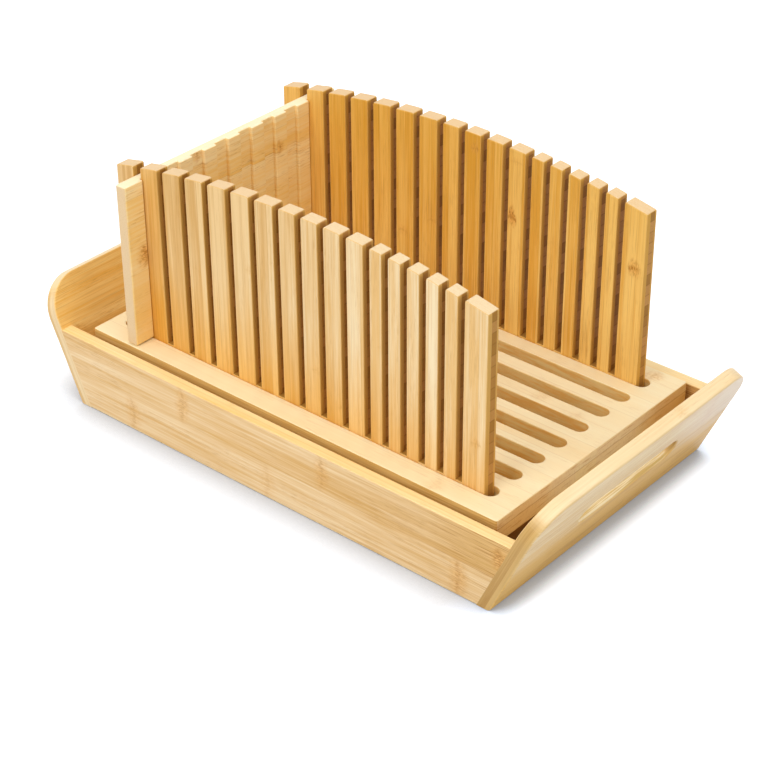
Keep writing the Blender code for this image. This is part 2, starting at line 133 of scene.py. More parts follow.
class Finish(Graph):
    """A material that is worked out from the place and the slope of each point of a piece."""

    def __init__(self, name):
        self.material = bpy.data.materials.new(name)
        self.material.use_nodes = True
        super().__init__(self.material.node_tree)
        self.shader = self.tree.nodes["Principled BSDF"]
        self.place = self.node("ShaderNodeTexCoord")
        self.millimetres = self.node("ShaderNodeVectorMath", self.place.outputs["Object"], operation="SCALE")
        self.millimetres.inputs["Scale"].default_value = 1 / MM

    def part(self, vector, direction):
        """The part of a vector that lies along a direction."""
        node = self.node("ShaderNodeVectorMath", vector, direction, operation="DOT_PRODUCT")
        return Field(self, node.outputs["Value"])

    def along(self, direction, start=0):
        """Distance in millimetres along a direction, from a start."""
        distance = self.part(self.millimetres.outputs[0], direction)
        return distance - start if start else distance

    def distances(self):
        """Distances in millimetres along x, y and z."""
        return [self.along(way) for way in (X_WAY, Y_WAY, Z_WAY)]

    def facing(self, direction):
        """How squarely the surface faces along a direction, either way: 0 to 1."""
        return abs(self.part(self.place.outputs["Normal"], direction))

    def faces(self, direction, start, end):
        """A smooth rise from 0 to 1 as the facing along a direction goes from start to end."""
        return self.fade(self.facing(direction), start, end)

    def cloud(self, first, second, third, detail=2, roughness=0.5):
        """Soft noise about one half; each of its three coordinates is a field or a number."""
        place = self.node("ShaderNodeCombineXYZ", first, second, third)
        node = self.node("ShaderNodeTexNoise", place.outputs[0], noise_dimensions="3D")
        node.inputs["Scale"].default_value = 1
        node.inputs["Detail"].default_value = detail
        node.inputs["Roughness"].default_value = roughness
        return Field(self, node.outputs["Fac"])

    def chance(self, number, seed):
        """Three even chances, from 0 to 1, that keep their value for a whole number."""
        place = self.node("ShaderNodeCombineXYZ", number + 0.5, seed)
        node = self.node("ShaderNodeTexWhiteNoise", place.outputs[0], noise_dimensions="2D")
        parts = self.node("ShaderNodeSeparateColor", node.outputs["Color"])
        return [Field(self, output) for output in parts.outputs]

    def done(self, colour, roughness, height, sheen=0.35):
        """Feed the shader: a colour, a roughness, a height in millimetres for the fine relief, and how
        strongly the surface mirrors."""
        relief = self.node("ShaderNodeBump")
        relief.inputs["Strength"].default_value = 1
        relief.inputs["Distance"].default_value = MM
        self.feed(relief.inputs["Height"], height)
        for name, value in (("Base Color", colour), ("Roughness", roughness), ("Specular IOR Level", sheen),
                            ("Normal", relief.outputs["Normal"])):
            self.feed(self.shader.inputs[name], value)
        return self.material


PORE_BROWN = (0.46, 0.20, 0.03)
KNUCKLE_BROWN = (0.50, 0.21, 0.03)
KNUCKLE_ORANGE = (0.86, 0.45, 0.10)
FIGURE_SIZE = (130, 11)            # of a patch along and across the grain, as the next six
STREAK_SIZE = (75, 2.0)
FIBRE_SIZE = (35, 0.7)
DENSE_SIZE = (60, 9)               # where the pores lie close
PORE_SIZE = (8, 0.42)
RIPPLE_SIZE = (14, 2.4)            # of a knuckle's line
DASH_SIZE = (2.6, 0.8)             # in a knuckle


def bamboo(finish, u, w, strip, seed, pale, deep, uneven=0.5, figure=1.5, streaks=1.4, pores=0.4,
           knuckles=(), knuckle_every=230, knuckle_strength=0.35):
    """Colour and height of glued bamboo strips. u runs along the grain and w across the strips.

    Each strip has its own even tone between pale and deep, and a place of its own in the noise. Broad
    figure, streaks of fibre and short dark pores are noise drawn out along the grain. A knuckle crosses
    each strip once in so many millimetres; the listed ones (u, w, half length, half width, strength)
    stand where they are seen."""
    number = finish.math("FLOOR", w / strip)
    off_middle = w / strip - number - 0.5
    tone, where, vigour = finish.chance(number, seed)
    lane = number * 7.31 + seed

    def drawn_out(size, shift, **kind):
        return finish.cloud(u / size[0], w / size[1], lane + shift, **kind)

    broad = drawn_out(FIGURE_SIZE, 0)
    streak = drawn_out(STREAK_SIZE, 1, detail=3, roughness=0.55)
    fibre = drawn_out(FIBRE_SIZE, 2, roughness=0.6)
    share = 0.45 + uneven * (tone - 0.5) + figure * (broad - 0.5)
    share = share + streaks * (streak - 0.5) + streaks * 0.5 * (fibre - 0.5)
    colour = finish.blend(share, pale, deep)
    dense = finish.fade(drawn_out(DENSE_SIZE, 3), 0.40, 0.62)
    pore = finish.fade(drawn_out(PORE_SIZE, 4, detail=1), 0.55, 0.72) * dense
    colour = finish.blend(pore * pores, colour, PORE_BROWN)
    seam = finish.fade(abs(off_middle), 0.5 - 0.3 / strip, 0.5)
    colour = finish.blend(seam * 0.25, colour, PORE_BROWN)

    ripple = (drawn_out(RIPPLE_SIZE, 5) - 0.5) * 7
    dashes = finish.fade(drawn_out(DASH_SIZE, 8, detail=1), 0.46, 0.64)
    turn = finish.math("FRACT", u / knuckle_every + where)
    distance = abs((turn - 0.5) * knuckle_every + ripple + off_middle * off_middle * 9)
    force = (0.3 + vigour) * knuckle_strength
    near = finish.fade(distance, 7, 1)
    mark = (near * (0.1 + dashes * 0.7) + finish.fade(distance, 1.4, 0.3) * 0.35) * force
    halo = near * force
    for at_u, at_w, half_u, half_w, strength in knuckles:
        across = (w - at_w) / half_w
        from_line = u - at_u + ripple * (half_u / 9) + across * across * (half_u * 0.25)
        reach = finish.math("SQRT", from_line * from_line / half_u ** 2 + across * across)
        near = finish.fade(reach, 1.3, 0.3) * strength
        line = finish.fade(abs(from_line), half_u * 0.3, half_u * 0.06) * finish.fade(abs(across), 1.1, 0.75)
        mark = mark + near * (0.1 + dashes * 0.9) + line * (0.4 * strength)
        halo = halo + near
    colour = finish.blend(halo * 0.5, colour, KNUCKLE_ORANGE)
    colour = finish.blend(mark * 0.8, colour, KNUCKLE_BROWN)
    height = fibre * 0.02 - pore * 0.025 - seam * 0.03 - mark * 0.03
    return colour, height, fibre


SIDE_STRIP = 24.5
SIDE_COLOURS = ((0.91, 0.67, 0.38), (0.73, 0.42, 0.13))
SIDE_RIGHT_COLOURS = ((0.80, 0.51, 0.20), (0.58, 0.30, 0.06))
SIDE_TOP_COLOURS = ((0.99, 0.79, 0.43), (0.94, 0.61, 0.22))
SIDE_END_GRAIN = (0.62, 0.38, 0.16)
FRONT_KNUCKLES = ((-71, 36.5, 6, 13, 0.55), (42, 36.5, 6, 12, 0.5), (172, 38, 7, 8, 1.0),
                  (-116, 12, 7, 12, 0.45), (-2, 12, 7, 13, 0.25), (143, 12, 7, 13, 0.65))
BACK_KNUCKLES = ((-128, 12, 6, 12, 0.4), (20, 12, 6, 12, 0.45), (-48, 36.5, 6, 12, 0.5),
                 (104, 36.5, 6, 12, 0.35))


def side_finish(name, seed, knuckles):
    """Two strips, one over the other, their grain along the tray. Both get darker and rougher towards
    the right, the upper one more."""
    finish = Finish(name)
    x, y, z = finish.distances()
    rough = finish.fade(x, -60, 180)
    upper = finish.fade(z, SIDE_STRIP - 3.5, SIDE_STRIP + 3.5)
    far = finish.fade(x, 105, 170)
    dark = rough * (upper * 0.4 + 0.1) + far * (upper * 0.35 + 0.25)
    pale, deep = (finish.blend(dark, left, right) for left, right in zip(SIDE_COLOURS, SIDE_RIGHT_COLOURS))
    colour, height, fibre = bamboo(finish, x, z, SIDE_STRIP, seed, pale, deep, uneven=0.3,
                                   streaks=1.9, knuckles=knuckles, knuckle_strength=0)
    lines = finish.fade(finish.cloud(x / 30, z / 0.6, seed + 7), 0.5, 0.72)
    colour = finish.blend(lines * (rough * 0.5 + far * upper * 0.7), colour, PORE_BROWN)
    top = bamboo(finish, x, y + 400, 60, seed + 4, *SIDE_TOP_COLOURS, pores=0.2, knuckle_strength=0.2)[0]
    colour = finish.blend(finish.faces(Z_WAY, 0.5, 0.9), colour, top)
    dots = finish.fade(finish.cloud(y / 0.7, z / 0.7, seed), 0.45, 0.6)
    end_grain = finish.blend(dots * 0.5, SIDE_END_GRAIN, PORE_BROWN)
    colour = finish.blend(finish.faces(X_WAY, 0.6, 0.9), colour, end_grain)
    return finish.done(colour, 0.36 + fibre * 0.16, height)


SLANT = math.radians(24.5)
SIDE_HEIGHT = 49 * MM
SIDE_THICKNESS = 8.5 * MM
SIDE_EASE = 0.8 * MM
SIDE_FOOT = 155.95 * MM            # half of its length at the table, into the end boards' eased corners
SIDE_OUTER_Y = 104.25 * MM
SMOOTH_LIMIT = math.cos(math.radians(40))      # edges that turn less than this are shaded as one curve


def directions_out(loop):
    """The direction out of each edge of a loop, which is the edge turned a quarter to its right and
    divided by its length, and the edges' lengths."""
    step = np.roll(loop, -1, axis=0) - loop
    length = np.linalg.norm(step, axis=1, keepdims=True)
    return np.stack([step[:, 1], -step[:, 0]], axis=1) / length, length


def unit(vectors):
    """Each vector divided by its length."""
    return vectors / np.linalg.norm(vectors, axis=-1, keepdims=True)


def edge_band(loop, lean, eased, thickness, ease, steps):
    """The band round a board's edge, as rings of (a, b, depth), with a direction out for each corner.

    An eased edge is drawn in by ease * (1 - sin t) at the depth ease * (1 - cos t), for t from 0 to 90
    degrees, and again from the far face with an ease of its own; an edge that isn't eased stays in its
    plane. A point moves by its lean times the depth. Both corners of an edge get
    cos t * (towards the face) + sin t * (out)."""
    out, length = directions_out(loop)
    eased = np.array(eased, float).reshape(-1, 1)
    before, length_before, eased_before = (np.roll(part, 1, axis=0) for part in (out, length, eased))
    along = (out * before).sum(axis=1, keepdims=True)
    smooth = along > SMOOTH_LIMIT
    blended = unit(out * length + before * length_before)
    start = np.where(smooth, blended, out)
    end = np.where(np.roll(smooth, -1, axis=0), np.roll(blended, -1, axis=0), out)
    cross = np.where(smooth, 1, before[:, :1] * out[:, 1:] - before[:, 1:] * out[:, :1])
    mitre = np.concatenate([eased_before * out[:, 1:] - eased * before[:, 1:],
                            eased * before[:, :1] - eased_before * out[:, :1]], axis=1) / cross
    corner = np.where(smooth, eased * (out + before) / (1 + along), mitre)

    t = np.linspace(0, math.pi / 2, steps + 1)
    near, far = ease if isinstance(ease, tuple) else (ease, ease)
    inset = 1 - np.sin(t)
    depth = 1 - np.cos(t)
    inset = np.concatenate([near * inset, far * inset[::-1]])[:, None]
    depth = np.concatenate([near * depth, thickness - far * depth[::-1]])[:, None]
    towards = np.concatenate([-np.cos(t), np.cos(t)[::-1]])[:, None] * eased.T
    outwards = np.concatenate([np.sin(t), np.sin(t)[::-1]])[:, None] * eased.T + 1 - eased.T

    flat_a = loop[None, :, 0] - inset * corner[None, :, 0] + depth * lean[None, :, 0]
    flat_b = loop[None, :, 1] - inset * corner[None, :, 1] + depth * lean[None, :, 1]
    rings = np.stack([flat_a, flat_b, np.broadcast_to(depth, flat_a.shape)], axis=2)

    def turned(direction, leaning):
        slope = -(direction * leaning).sum(axis=1)[None, :]
        parts = [outwards * direction[None, :, 0], outwards * direction[None, :, 1],
                 towards + outwards * slope]
        return unit(np.stack(np.broadcast_arrays(*parts), axis=2))

    return rings, turned(start, lean), turned(end, np.roll(lean, -1, axis=0))


def board_mesh(name, loops, thickness, ease, axes, origin, steps=4, leans=None, eased=None):
    """A flat board with eased edges, as a closed mesh: origin + a * axis 1 + b * axis 2 + depth * axis 3.

    The first loop is the outline, run anticlockwise, and the others are openings, run clockwise. Each
    has its band; the two faces are filled flat between the bands."""
    axes = np.array(axes, float)
    points, quads, directions = [], [], []
    count = 0
    near, far = [], []
    for index, loop in enumerate(loops):
        lean = leans[index] if leans else np.zeros_like(loop)
        rings, start, end = edge_band(loop, lean, eased or [1] * len(loop), thickness, ease, steps)
        height, width = rings.shape[:2]
        numbers = count + np.arange(height * width).reshape(height, width)
        after = np.roll(numbers, -1, axis=1)
        quads.append(np.stack([numbers[:-1], after[:-1], after[1:], numbers[1:]], axis=2).reshape(-1, 4))
        turn = np.stack([start[:-1], end[:-1], end[1:], start[1:]], axis=2)
        directions.append(turn.reshape(-1, 4, 3))
        points.append(rings.reshape(-1, 3))
        near.append(numbers[0])
        far.append(numbers[-1])
        count += height * width
    points = np.concatenate(points)
    quads = np.concatenate(quads)
    directions = np.concatenate(directions)

    caps, cap_directions = [], []
    for numbers, towards in ((near, -1), (far, 1)):
        order = np.concatenate(numbers)
        fill = tessellate_polygon([[Vector((*points[i][:2], 0)) for i in ring] for ring in numbers])
        triangles = order[np.array(fill)]
        first, second, third = (points[triangles[:, k], :2] for k in range(3))
        area = np.cross(second - first, third - first)
        wrong = np.sign(area) != towards
        triangles[wrong] = triangles[wrong][:, ::-1]
        caps.append(triangles[area != 0])
    if np.linalg.det(axes) < 0:
        quads, directions = quads[:, ::-1], directions[:, ::-1]
        caps = [triangles[:, ::-1] for triangles in caps]
    for triangles, towards in zip(caps, (-1, 1)):
        cap_directions.append(np.tile((0.0, 0.0, float(towards)), (len(triangles) * 3, 1)))

    mesh = bpy.data.meshes.new(name)
    faces = quads.tolist() + caps[0].tolist() + caps[1].tolist()
    mesh.from_pydata((points @ axes + np.array(origin)).tolist(), [], faces)
    mesh.shade_smooth()
    corners = np.concatenate([directions.reshape(-1, 3)] + cap_directions) @ axes
    mesh.normals_split_custom_set(unit(corners).tolist())
    mesh.validate()
    return mesh


def add_object(name, data):
    """A new object in the scene that shows a mesh, or that is a lamp or a camera."""
    item = bpy.data.objects.new(name, data)
    bpy.context.scene.collection.objects.link(item)
    return item


def add_piece(name, mesh, material, body, slot, *nodes):
    """Put a finished piece into the scene, on its body and in its nodes' stead."""
    piece = add_object(name, mesh)
    mesh.materials.append(material)
    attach(piece, body)
    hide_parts(*nodes)


def add_side(word, front_y, seed, knuckles):
    """A side whose front face stands at front_y; only its long edges are eased."""
    top = SIDE_FOOT + SIDE_HEIGHT * math.tan(SLANT)
    outline = np.array([(-SIDE_FOOT, 0), (SIDE_FOOT, 0), (top, SIDE_HEIGHT), (-top, SIDE_HEIGHT)])
    mesh = board_mesh(word + " side", [outline], SIDE_THICKNESS, SIDE_EASE, (X_WAY, Z_WAY, Y_WAY),
                      (0, front_y, 0), eased=[1, 0, 1, 0])
    add_piece(word + "_side_board", mesh, side_finish(word + " side bamboo", seed, knuckles), "tray",
              "tan_bamboo", "tray_" + word + "_side")


add_side("front", -SIDE_OUTER_Y, 2.0, FRONT_KNUCKLES)
add_side("back", SIDE_OUTER_Y - SIDE_THICKNESS, 9.0, BACK_KNUCKLES)


# Tray ends.
# The two slanted end boards, of flat bamboo strips that run from front to back. Each has round
# top corners, a level foot, and a long hand hole that is milled through and sanded round.

END_THICKNESS = 9 * MM
END_RISE = 81.1 * MM               # along the slope
END_DEPTH = 208.5 * MM
END_CORNER = 24 * MM
END_EASE = (1.5 * MM, 0.9 * MM)    # of the outer and the inner face
END_FOOT = 165.09 * MM             # from the middle of the tray to the outer face at the table
HOLE_LENGTH = 94 * MM
HOLE_WIDTH = 17 * MM
HOLE_RISE = 43.5 * MM              # middle of the hand hole, along the slope


def arc(middle, radius, start, end, steps):
    """Points on an arc: middle + radius * (cos a, sin a), for a from start to end in degrees."""
    a = np.radians(np.linspace(start, end, steps + 1))
    return np.array(middle) + radius * np.stack([np.cos(a), np.sin(a)], axis=1)


def slot_outline(half_straight, radius, middle, steps=14):
    """Two half circles joined by straight lines, run clockwise, as an opening is."""
    right = arc((middle[0] + half_straight, middle[1]), radius, 90, -90, steps)
    left = arc((middle[0] - half_straight, middle[1]), radius, 270, 90, steps)
    return np.concatenate([right, left])


def end_loops():
    """Outline of an end board in its own slope, from the foot up, and its hand hole, with their leans.

    Two straight corners at the foot and two quarter circles at the top. The foot leans by the tangent
    of the slant, so that it comes out level."""
    half = END_DEPTH / 2
    foot = np.array([(-half, 0.0), (half, 0.0)])
    right = arc((half - END_CORNER, END_RISE - END_CORNER), END_CORNER, 0, 90, 20)
    left = arc((END_CORNER - half, END_RISE - END_CORNER), END_CORNER, 90, 180, 20)
    outline = np.concatenate([foot, right, left])
    lean = np.zeros_like(outline)
    lean[:2, 1] = -math.tan(SLANT)
    hole = slot_outline((HOLE_LENGTH - HOLE_WIDTH) / 2, HOLE_WIDTH / 2, (0, HOLE_RISE), 18)
    return [outline, hole], [lean, np.zeros_like(hole)]


END_STRIP = 21.0
EDGE_LAYER = 3.1
# pale, deep, and the golden painted shade that darkens each end low down, below the hand hole
LEFT_COLOURS = ((0.95, 0.68, 0.27), (0.84, 0.46, 0.10), (0.86, 0.50, 0.14))
RIGHT_COLOURS = ((0.87, 0.66, 0.36), (0.77, 0.49, 0.18), (0.78, 0.43, 0.06))
LEFT_EDGE_COLOURS = ((0.88, 0.66, 0.37), (0.74, 0.46, 0.17))
RIGHT_EDGE_COLOURS = ((0.68, 0.43, 0.15), (0.50, 0.28, 0.08))
END_TOP_COLOURS = ((0.93, 0.74, 0.45), (0.86, 0.58, 0.27))
END_PAINTED_REFLECTION = (0.90, 0.77, 0.66)      # a painted reflection of the white surroundings, paler at the back, above the hand hole
END_DRIFT = (0.62, 0.31, 0.05)     # darker fibres
# the hand hole's walls, darker as painted shade in the opening
HOLE_SHADE_COLOURS = ((0.90, 0.74, 0.46), (0.66, 0.44, 0.15))
END_EASED = (0.84, 0.54, 0.20)
LEFT_KNUCKLES = ((-91, 43, 6, 6, 0.55), (-82, 37, 4, 5, 0.4), (40, 62, 5, 9, 0.4),
                 (-30, 16, 5, 10, 0.3))
RIGHT_KNUCKLES = ((-62, 25, 6, 8, 0.35), (30, 14, 6, 9, 0.3), (70, 60, 5, 9, 0.25))


def end_ways(side):
    """The way up the slope of an end board and the way inwards; side is -1 for the left end, 1 for
    the right."""
    return (side * math.sin(SLANT), 0, math.cos(SLANT)), (-side * math.cos(SLANT), 0, math.sin(SLANT))


def end_finish(name, side, seed, colours, edge_colours, knuckles):
    """Strips from front to back; the pattern leans with the board. Below the hand hole a painted shade turns
    them golden and darker, at the back above it a painted reflection turns them paler, and the walls of the
    hand hole are darker as painted shade. The narrow front and back edges show thin layers along the slope."""
    finish = Finish(name)
    y = finish.along(Y_WAY)
    slope_way, inward_way = end_ways(side)
    slope = finish.along(slope_way, END_FOOT / MM * math.sin(SLANT))
    inward = finish.along(inward_way, -END_FOOT / MM * math.cos(SLANT))
    colour, height, fibre = bamboo(finish, y, slope, END_STRIP, seed, *colours[:2], uneven=0.4,
                                   streaks=1.8, knuckles=knuckles, knuckle_strength=0.2)
    # painted shade: golden and darker low on the board, below the hand hole, with a ragged upper edge
    low = finish.fade(slope + (finish.cloud(y / 60, slope / 12, seed) - 0.5) * 30, 50, 26)
    colour = finish.blend(low * 0.85, colour, colours[2])
    lines = finish.fade(finish.cloud(y / 40, slope / 0.7, seed + 7), 0.52, 0.7)
    colour = finish.blend(lines * 0.3, colour, PORE_BROWN)
    # darker fibres, drawn stronger where the painted shade lies low down
    drift = finish.fade(finish.cloud(y / 55, slope / 5, seed + 6, detail=3), 0.52, 0.66)
    colour = finish.blend(drift * (0.15 + low * 0.4), colour, END_DRIFT)
    # painted reflection: paler towards the back, above the painted shade
    painted_reflection = finish.fade(y, 0, 100) * (1 - low)
    colour = finish.blend(painted_reflection * 0.45, colour, END_PAINTED_REFLECTION)
    top = bamboo(finish, y, inward + 40, 30, seed + 2, *END_TOP_COLOURS, pores=0.2,
                 knuckle_strength=0.2)[0]
    # painted shade: the walls of the hand hole get darker, golden-brown colours
    drawn = finish.cloud(y / 50, inward / 1.2, seed + 8, detail=3)
    hole = finish.blend(finish.fade(drawn, 0.42, 0.60), *HOLE_SHADE_COLOURS)
    top = finish.blend(finish.fade(abs(slope - HOLE_RISE / MM), 16, 12), top, hole)
    colour = finish.blend(finish.faces(slope_way, 0.5, 0.9), colour, top)
    layers = bamboo(finish, slope, inward + 40, EDGE_LAYER, seed + 5, *edge_colours, uneven=0.9, pores=0.3,
                    knuckle_strength=0)[0]
    colour = finish.blend(finish.faces(Y_WAY, 0.6, 0.92), colour, layers)
    eased = finish.faces(inward_way, 0.96, 0.85) * finish.faces(inward_way, 0.35, 0.6)
    colour = finish.blend(eased * 0.35, colour, END_EASED)
    return finish.done(colour, 0.33 + fibre * 0.14, height, sheen=0.22)


ENDS = ((-1, "left", 4.0, LEFT_COLOURS, LEFT_EDGE_COLOURS, LEFT_KNUCKLES),
        (1, "right", 6.0, RIGHT_COLOURS, RIGHT_EDGE_COLOURS, RIGHT_KNUCKLES))
loops, leans = end_loops()
for side, word, *looks in ENDS:
    mesh = board_mesh(word + " end", loops, END_THICKNESS, END_EASE, (Y_WAY, *end_ways(side)),
                      (side * END_FOOT, 0, 0), leans=leans)
    material = end_finish(word + " end bamboo", side, *looks)
    add_piece(word + "_end_board", mesh, material, "tray", "tan_bamboo", "tray_" + word + "_end")


# Tray panel and corner dowels.
# The thin bottom panel of pressed bamboo, let into grooves in all four walls, and the eight beech
# dowels that are glued across the corners. The dowels don't show once the tray is together.

PANEL_STRIP = 19.0
# darker than the other boards as painted shade inside the tray
PANEL_SHADE_COLOURS = ((0.66, 0.42, 0.18), (0.50, 0.29, 0.10))
BEECH_COLOURS = ((0.74, 0.52, 0.32), (0.60, 0.38, 0.20))
BEECH_RAY = (0.42, 0.24, 0.12)


def dress(node, material):
    """Give a node of the frame its finish."""
    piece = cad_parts[node]
    piece.data.materials.clear()
    piece.data.materials.append(material)


def panel_finish():
    """Strips along the tray, duller than the other boards, and darker as painted shade inside the tray."""
    finish = Finish("panel bamboo")
    x, y = finish.along(X_WAY), finish.along(Y_WAY)
    colour, height, fibre = bamboo(finish, x, y, PANEL_STRIP, 11.0, *PANEL_SHADE_COLOURS, pores=0.35,
                                   knuckle_strength=0.5)
    return finish.done(colour, 0.48 + fibre * 0.12, height)


def dowel_finish():
    """Beech: pale, with short rays along the grain."""
    finish = Finish("dowel beech")
    x, y, z = finish.distances()
    grain = finish.cloud(x / 8, y / 0.5, z / 0.5)
    rays = finish.fade(finish.cloud(x / 1.5, y / 0.3, z / 0.3), 0.6, 0.7)
    colour = finish.blend(grain, *BEECH_COLOURS)
    colour = finish.blend(rays * 0.3, colour, BEECH_RAY)
    return finish.done(colour, 0.6 + grain * 0.1, grain * 0.03)


dress("tray_bottom_panel", panel_finish())
beech = dowel_finish()
for row in ("front", "back"):
    for end in ("left", "right"):
        for level in ("lower", "upper"):
            dress(row + "_" + end + "_" + level + "_dowel", beech)


# Slotted board.
# The board that lifts out: two layers of bamboo strips, glued up and milled through with eight long
# round-ended slots. The two combs stand in the outer slots, and crumbs fall through the others.

BOARD_LENGTH = 320.0 * MM
BOARD_DEPTH = 186.1 * MM
BOARD_THICKNESS = 15.5 * MM
BOARD_TOP = 52.3 * MM
BOARD_CORNER = 1.5 * MM
BOARD_EASE = 0.7 * MM
SLOT_HALF = 142.3 * MM             # half of a slot's straight part
SLOT_RADIUS = 5.05 * MM
SLOT_MIDDLE_X = -3.05 * MM
FIRST_SLOT_Y = -72.1 * MM
SLOT_PITCH = 21 * MM
SLOT_COUNT = 8
BOARD_BOTTOM = BOARD_TOP - BOARD_THICKNESS


def rounded_outline(half_a, half_b, radius, steps=6):
    """A rectangle about the origin with a quarter circle at each corner, run anticlockwise."""
    corners = [((1, -1), 270), ((1, 1), 0), ((-1, 1), 90), ((-1, -1), 180)]
    return np.concatenate([arc((a * (half_a - radius), b * (half_b - radius)), radius, start, start + 90,
                               steps) for (a, b), start in corners])


BOARD_STRIP = 20.0
LAYER_LINE = 9.4                   # the joint of the two layers, above the board's underside
BOARD_COLOURS = ((0.98, 0.86, 0.57), (0.92, 0.70, 0.38))
UPPER_LAYER = (0.99, 0.80, 0.46)
LOWER_LAYER = (0.99, 0.76, 0.37)
EDGE_SHADE_GOLD = (0.64, 0.34, 0.05)     # this and the next one: the long front and back edges; this one is darkened as painted shade of the narrow gap beside the tray's sides
EDGE_BROWN = (0.50, 0.25, 0.04)
SLOT_COLOURS = ((1.0, 0.79, 0.36), (0.92, 0.54, 0.13))
BOARD_END_PALE = (0.94, 0.70, 0.38)
BOARD_END_DRIFT = (0.66, 0.36, 0.10)
# painted shadow on the board's end grain, towards the back
BOARD_END_SHADOW = (0.74, 0.40, 0.06)
BOARD_KNUCKLES = ((141.6, 86, 7, 6, 0.45), (112, -88, 7, 7, 0.2), (136, -55, 7, 6, 0.22),
                  (132, 18, 6, 7, 0.18), (103, 26, 7, 7, 0.22))


def board_finish():
    """Strips along the board on top; its edges show the two layers, and end grain at both ends. The long
    edges and the slot walls low down are darkened as painted shade, and the end grain towards the back as
    painted shadow.
    """
    finish = Finish("board bamboo")
    x, y = finish.along(X_WAY), finish.along(Y_WAY)
    z = finish.along(Z_WAY, BOARD_BOTTOM / MM)
    colour, height, fibre = bamboo(finish, x, y, BOARD_STRIP, 15.0, *BOARD_COLOURS, figure=0.7,
                                   streaks=0.45, pores=0.2, knuckles=BOARD_KNUCKLES, knuckle_strength=0)
    upper = finish.fade(z, LAYER_LINE - 0.15, LAYER_LINE + 0.15)
    drawn = finish.fade(finish.cloud(x / 40, z / 0.9, y / 30, detail=3), 0.35, 0.65)
    brown = finish.fade(finish.cloud(x / 22, z / 3.0, y / 30 + 5, detail=3, roughness=0.6), 0.38, 0.66)
    # painted shade: the slot walls turn browner low down, towards the board's underside
    brown = brown * 0.7 + finish.fade(z, 10, 3) * 0.25
    wall = finish.blend(brown, *SLOT_COLOURS)
    outer = finish.fade(abs(y), BOARD_DEPTH / MM / 2 - 3, BOARD_DEPTH / MM / 2 - 1)
    # painted shade: the long edges, in the narrow gap beside the tray's sides, are a dark gold
    edge = finish.blend(upper * 0.25, EDGE_SHADE_GOLD, UPPER_LAYER)
    edge = finish.blend(drawn * 0.6, edge, EDGE_BROWN)
    wall = finish.blend(outer, wall, edge)
    colour = finish.blend(finish.faces(Z_WAY, 0.85, 0.45), colour, wall)
    tone = finish.chance(finish.math("FLOOR", y / BOARD_STRIP), 12)[0]
    ticks = finish.fade(finish.cloud(y / 0.9, z / 3.2, 8.0), 0.5, 0.68)
    end_wall = finish.blend(upper, LOWER_LAYER, UPPER_LAYER)
    end_wall = finish.blend((tone - 0.2) * 0.6, end_wall, BOARD_END_PALE)
    end_wall = finish.blend(ticks * 0.12, end_wall, PORE_BROWN)
    drift = finish.fade(finish.cloud(y / 14, z / 1.3, 6.0, detail=3), 0.52, 0.68)
    end_wall = finish.blend(drift * 0.5, end_wall, BOARD_END_DRIFT)
    # painted shadow: the end grain darkens towards the back
    end_wall = finish.blend(finish.fade(y, 30, 92) * 0.6, end_wall, BOARD_END_SHADOW)
    is_end = finish.fade(abs(x), BOARD_LENGTH / MM / 2 - 3, BOARD_LENGTH / MM / 2 - 1)
    colour = finish.blend(finish.faces(X_WAY, 0.75, 0.95) * is_end, colour, end_wall)
    seam = finish.fade(abs(z - LAYER_LINE), 0.5, 0.1) * finish.faces(Z_WAY, 0.6, 0.2)
    colour = finish.blend(seam * (outer + is_end) * 0.4, colour, PORE_BROWN)
    return finish.done(colour, 0.40 + fibre * 0.15, height, sheen=finish.facing(Z_WAY) * 0.3 + 0.05)


slots = [slot_outline(SLOT_HALF, SLOT_RADIUS, (SLOT_MIDDLE_X, FIRST_SLOT_Y + number * SLOT_PITCH))
         for number in range(SLOT_COUNT)]
board_outline = rounded_outline(BOARD_LENGTH / 2, BOARD_DEPTH / 2, BOARD_CORNER)
mesh = board_mesh("board", [board_outline] + slots, BOARD_THICKNESS, BOARD_EASE, (X_WAY, Y_WAY, Z_WAY),
                  (0, 0, BOARD_BOTTOM))
add_piece("lift_out_board", mesh, board_finish(), "board", "pale_bamboo", "slotted_board")


# Feet and screws.
# Two battens of darker, steamed bamboo across the board's underside, each held by three zinced wood
# screws from below. They tie the strips between the slots, and the combs' lower edges rest on them.

FOOT_STRIP = 9.0
FOOT_COLOURS = ((0.37, 0.21, 0.09), (0.25, 0.13, 0.05))
FOOT_END_COLOURS = ((0.32, 0.18, 0.08), (0.16, 0.08, 0.03))
ZINC_COLOURS = ((0.62, 0.63, 0.66), (0.50, 0.52, 0.56))


def foot_finish(name, seed):
    """Narrow strips along the batten, and end grain at its ends."""
    finish = Finish(name)
    x, y, z = finish.distances()
    colour, height, fibre = bamboo(finish, y, x + z * 0.6, FOOT_STRIP, seed, *FOOT_COLOURS, uneven=0.7,
                                   knuckle_strength=0.5)
    dots = finish.fade(finish.cloud(x / 0.8, z / 0.8, seed), 0.45, 0.62)
    end_grain = finish.blend(dots * 0.6, *FOOT_END_COLOURS)
    colour = finish.blend(finish.faces(Y_WAY, 0.6, 0.9), colour, end_grain)
    return finish.done(colour, 0.5 + fibre * 0.12, height)


def zinc_finish():
    """Zinced steel: bluish, cloudy, with faint turning rings."""
    finish = Finish("screw zinc")
    x, y, z = finish.distances()
    cloudy = finish.cloud(x / 1.5, y / 1.5, z / 1.5, detail=3)
    rings = finish.cloud(x / 40, y / 40, z / 0.25)
    colour = finish.blend(cloudy, *ZINC_COLOURS)
    finish.shader.inputs["Metallic"].default_value = 1
    return finish.done(colour, 0.26 + cloudy * 0.2, rings * 0.02)


